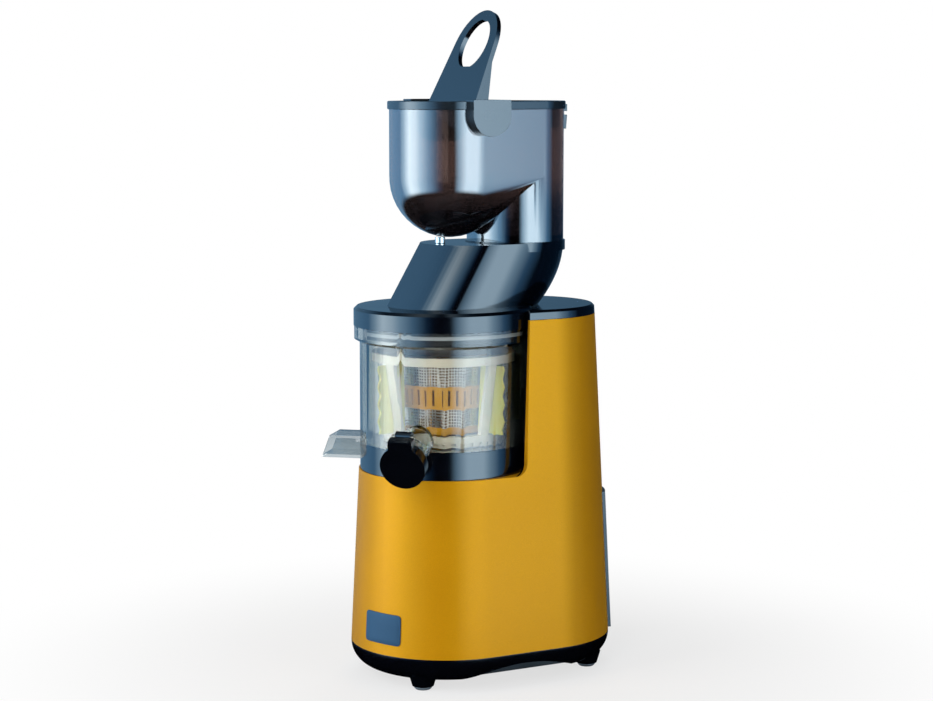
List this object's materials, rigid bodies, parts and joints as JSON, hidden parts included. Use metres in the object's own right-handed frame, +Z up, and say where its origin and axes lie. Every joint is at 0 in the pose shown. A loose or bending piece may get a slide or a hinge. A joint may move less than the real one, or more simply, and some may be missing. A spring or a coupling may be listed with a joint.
{
  "type": "cold press juicer",
  "caption": "Vertical cold press juicer: geared base with a rear column, clear juicing bowl with strainer, auger and wiper, lid with feed elbow, and a wide hopper with a flip gate.",
  "frame": {"origin": "middle of the whole outline seen from above, on the table top that the rubber feet stand on", "axes": "+Z up, -Y is the front that both spouts point to, +X is the juice spout's side, +Y is the column with the rear panel and the rocker"},
  "size_m": [0.1724, 0.2472, 0.5579],
  "materials": {
    "gold_body": "satin pearl paint",
    "black_gloss": "gloss",
    "black_satin": "satin",
    "smoked_hopper": "clear smoked plastic",
    "smoked_rim": "smoked plastic",
    "smoked_bowl": "clear smoked plastic",
    "foot_rubber": "matt",
    "silicone_white": "matt",
    "silicone_lime": "satin",
    "seal_rubber": "matt",
    "cream_plastic": "satin",
    "white_plastic": "satin",
    "amber_plastic": "gloss",
    "ivory_plastic": "satin",
    "gear_nylon": "satin",
    "steel_screen": "brushed",
    "steel_bright": "turned",
    "cast_alloy": "cast",
    "motor_iron": "laminated",
    "winding": "laminated core with copper windings",
    "bronze": "sintered",
    "board_green": "satin",
    "capacitor_skin": "satin"
  },
  "bodies": {
    "base": {"housing": "gold_body", "bottom_pan": "black_satin", "rubber_feet": "foot_rubber", "top_cap": "black_gloss", "recess_liner": "black_gloss", "bowl_seat": "black_gloss", "rear_panel": "black_satin", "switch_frame": "black_satin", "cord_gland": "seal_rubber", "housing_screws": "steel_bright", "motor_can": "steel_bright", "motor_stator": "winding", "gearbox_base": "cast_alloy", "gearbox_cover": "cast_alloy", "gearbox_screws": "steel_bright", "gear_axle": "steel_bright", "shaft_bushes": "bronze", "shaft_seal": "seal_rubber", "control_board": "board_green", "run_capacitor": "capacitor_skin", "interlock_switch": "black_satin"},
    "rocker": {"rocker_switch": "black_gloss"},
    "rotor": {"motor_rotor": "motor_iron", "motor_fan": "white_plastic"},
    "step": {"step_gear": "gear_nylon"},
    "output": {"output_gear": "gear_nylon", "drive_shaft": "steel_bright"},
    "bowl": {"juicing_bowl": "smoked_bowl", "juice_spout": "smoked_bowl", "pulp_spout": "smoked_bowl", "bowl_seal": "silicone_white", "strainer_basket": "amber_plastic", "strainer_screen": "steel_screen", "juice_cap_pin": "steel_bright"},
    "auger": {"auger": "ivory_plastic", "auger_socket": "steel_bright"},
    "pinion": {"wiper_pinion": "white_plastic"},
    "wiper": {"wiper_frame": "cream_plastic", "wiper_blades": "silicone_lime"},
    "juice_cap": {"juice_cap": "black_gloss"},
    "lid": {"lid": "black_gloss", "lid_seal": "silicone_white", "lid_bush": "white_plastic", "support_post": "black_gloss"},
    "hopper": {"hopper": "smoked_hopper", "hopper_rim": "smoked_rim", "pivot_covers": "smoked_rim", "gate_pins": "steel_bright", "rear_clip": "smoked_rim"},
    "gate": {"flip_gate": "black_gloss"}
  },
  "joints": [
    {"name": "motor_spin", "type": "hinge", "parent": "base", "child": "rotor", "pos_m": [-0.00567, 0.04562, 0.1], "axis": [0, 0, 1], "continuous": true},
    {"name": "step_spin", "type": "hinge", "parent": "base", "child": "step", "pos_m": [-0.00567, 0.01322, 0.15], "axis": [0, 0, 1], "continuous": true},
    {"name": "shaft_spin", "type": "hinge", "parent": "base", "child": "output", "pos_m": [-0.00567, -0.03178, 0.15], "axis": [0, 0, 1], "continuous": true},
    {"name": "bowl_lift", "type": "slide", "parent": "base", "child": "bowl", "axis": [0, 0, 1], "range_m": [0, 0.15]},
    {"name": "auger_spin", "type": "hinge", "parent": "bowl", "child": "auger", "pos_m": [-0.00567, -0.03178, 0.24], "axis": [0, 0, 1], "continuous": true},
    {"name": "pinion_spin", "type": "hinge", "parent": "bowl", "child": "pinion", "pos_m": [0.0127, -0.01064, 0.203], "axis": [0, 0, 1], "continuous": true},
    {"name": "wiper_spin", "type": "hinge", "parent": "bowl", "child": "wiper", "pos_m": [-0.00567, -0.03178, 0.24], "axis": [0, 0, 1], "continuous": true},
    {"name": "juice_cap_hinge", "type": "hinge", "parent": "bowl", "child": "juice_cap", "pos_m": [0.06967, -0.10712, 0.2161], "axis": [-0.7071, -0.7071, 0], "range_deg": [0, 100]},
    {"name": "lid_lift", "type": "slide", "parent": "bowl", "child": "lid", "axis": [0, 0, 1], "range_m": [0, 0.1]},
    {"name": "hopper_lift", "type": "slide", "parent": "lid", "child": "hopper", "axis": [0, 0, 1], "range_m": [0, 0.08]},
    {"name": "gate_hinge", "type": "hinge", "parent": "hopper", "child": "gate", "pos_m": [-0.00567, -0.01948, 0.472], "axis": [-1, 0, 0], "range_deg": [0, 66]},
    {"name": "rocker_hinge", "type": "hinge", "parent": "base", "child": "rocker", "pos_m": [-0.00567, 0.11344, 0.1118], "axis": [1, 0, 0], "range_deg": [-10, 10]}
  ],
  "couplings": [
    {"joint": "step_spin", "follows": "motor_spin", "ratio": -0.2},
    {"joint": "shaft_spin", "follows": "motor_spin", "ratio": 0.04},
    {"joint": "auger_spin", "follows": "motor_spin", "ratio": 0.04},
    {"joint": "pinion_spin", "follows": "motor_spin", "ratio": -0.03},
    {"joint": "wiper_spin", "follows": "motor_spin", "ratio": -0.010909}
  ]
}
